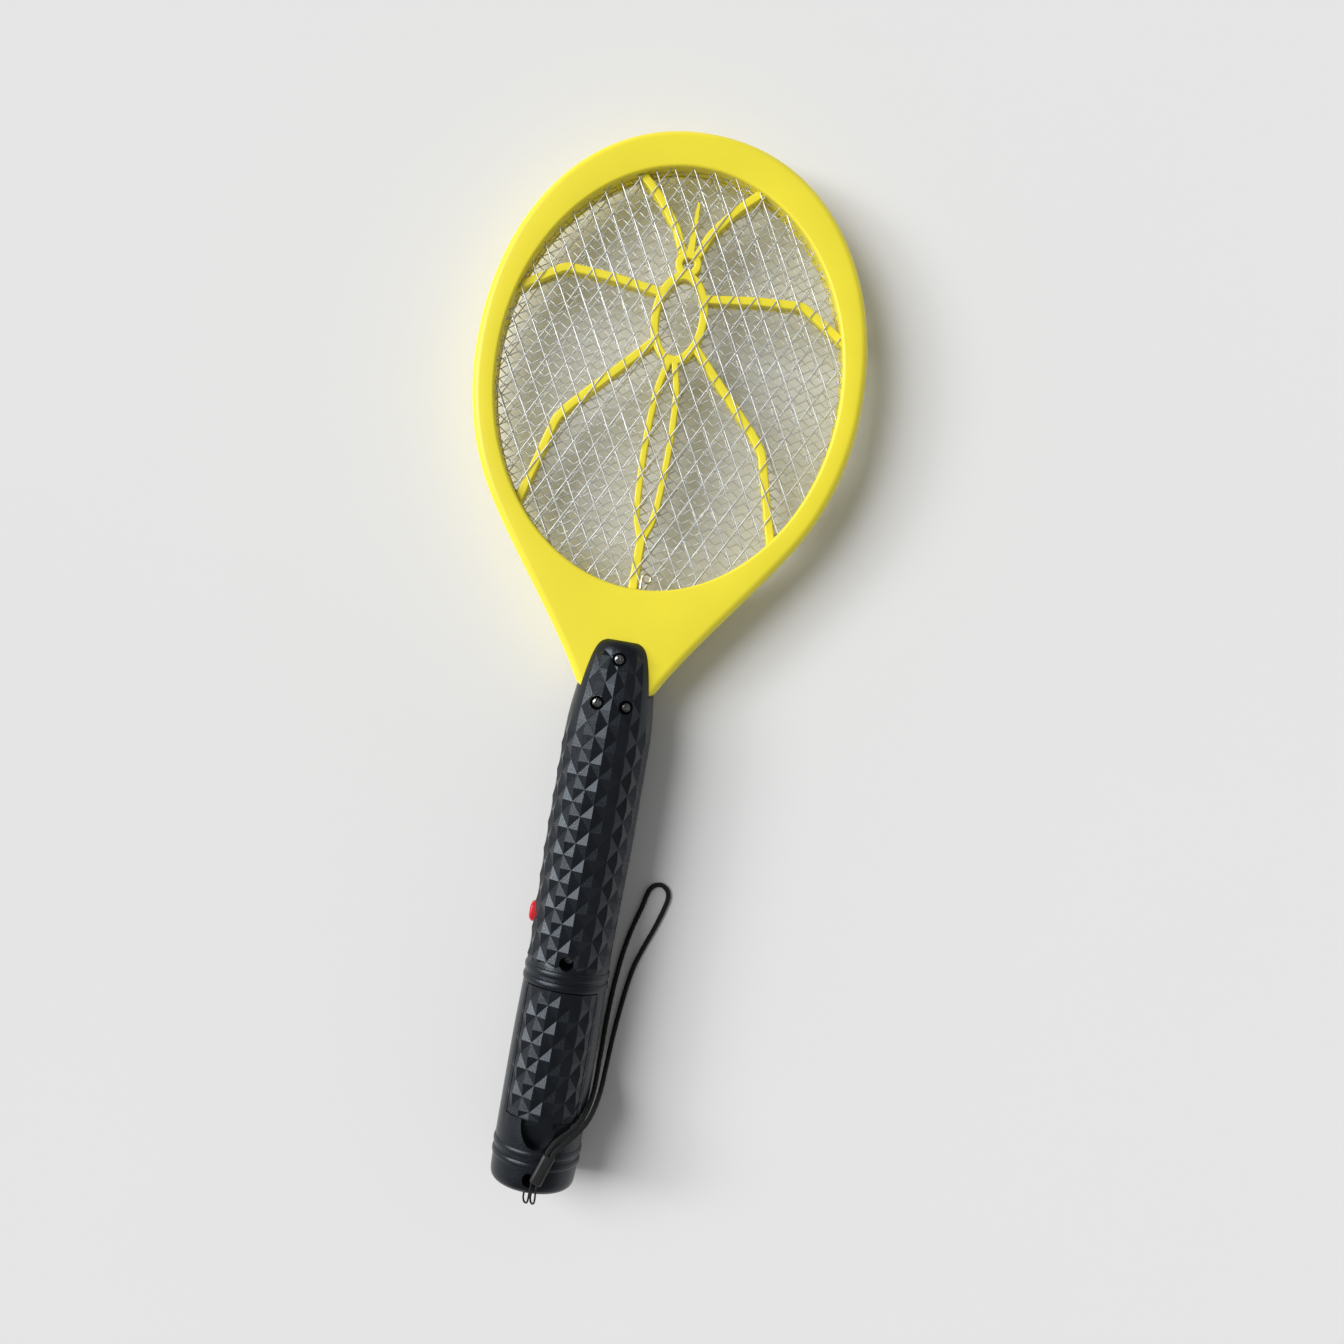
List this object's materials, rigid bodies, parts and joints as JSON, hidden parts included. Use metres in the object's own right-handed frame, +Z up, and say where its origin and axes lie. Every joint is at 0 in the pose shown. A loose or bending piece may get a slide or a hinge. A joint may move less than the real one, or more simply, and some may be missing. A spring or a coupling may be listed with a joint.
{
  "type": "electric fly swatter",
  "caption": "Racket-shaped electric insect swatter: oval net head, moulded grip with battery cover and side push button, and a wrist strap.",
  "frame": {"origin": "centre of the box of the swatter without its strap, on the surface it lies on", "axes": "+Y from the butt of the grip to the tip of the head, +Z up through the front face, +X to the right seen from the front"},
  "size_m": [0.1764, 0.4836, 0.0426],
  "materials": {
    "yellow_plastic": "smooth moulded, satin gloss",
    "black_plastic": "fine spark-eroded texture with faceted diamonds",
    "red_plastic": "smooth moulded",
    "net_metal": "bare drawn metal strands",
    "contact_metal": "bare",
    "lead_jacket": "insulated lead",
    "screw_steel": "zinc plated",
    "switch_white": "moulded",
    "switch_black": "moulded",
    "board": "solder mask",
    "ferrite": "sintered",
    "winding": "enamelled wire",
    "capacitor_coat": "dipped",
    "resistor_coat": "dipped",
    "cell_jacket": "plain printed sleeve, no text",
    "strap_fabric": "braided cord",
    "sleeve_rubber": "smooth sleeve"
  },
  "bodies": {
    "swatter": {"front_frame": "yellow_plastic", "rear_frame": "yellow_plastic", "front_spacer": "yellow_plastic", "rear_spacer": "yellow_plastic", "front_net": "net_metal", "middle_net": "net_metal", "rear_net": "net_metal", "net_terminals": "contact_metal", "high_voltage_leads": "lead_jacket", "front_shell": "black_plastic", "rear_shell": "black_plastic", "handle_screws": "screw_steel", "switch_housing": "switch_black", "circuit_board": "board", "transformer_core": "ferrite", "transformer_winding": "winding", "storage_capacitor": "capacitor_coat", "transistor": "switch_black", "board_diodes": "switch_black", "board_resistors": "resistor_coat", "aa_cell_left": "cell_jacket", "aa_cell_right": "cell_jacket", "contact_springs": "screw_steel", "contact_plates": "screw_steel", "battery_leads": "lead_jacket", "strap_string": "strap_fabric", "strap_sleeve": "sleeve_rubber", "strap_cord": "strap_fabric"},
    "button": {"push_button": "red_plastic", "switch_plunger": "switch_white"},
    "cover": {"battery_cover": "black_plastic"}
  },
  "joints": [
    {"name": "button_press", "type": "slide", "parent": "swatter", "child": "button", "axis": [1, 0, 0], "range_m": [0, 0.0012], "stiffness_N_per_m": 1200},
    {"name": "cover_lift", "type": "hinge", "parent": "swatter", "child": "cover", "pos_m": [0, -0.15, 0.0379], "axis": [-1, 0, 0], "range_deg": [0, 50]}
  ]
}
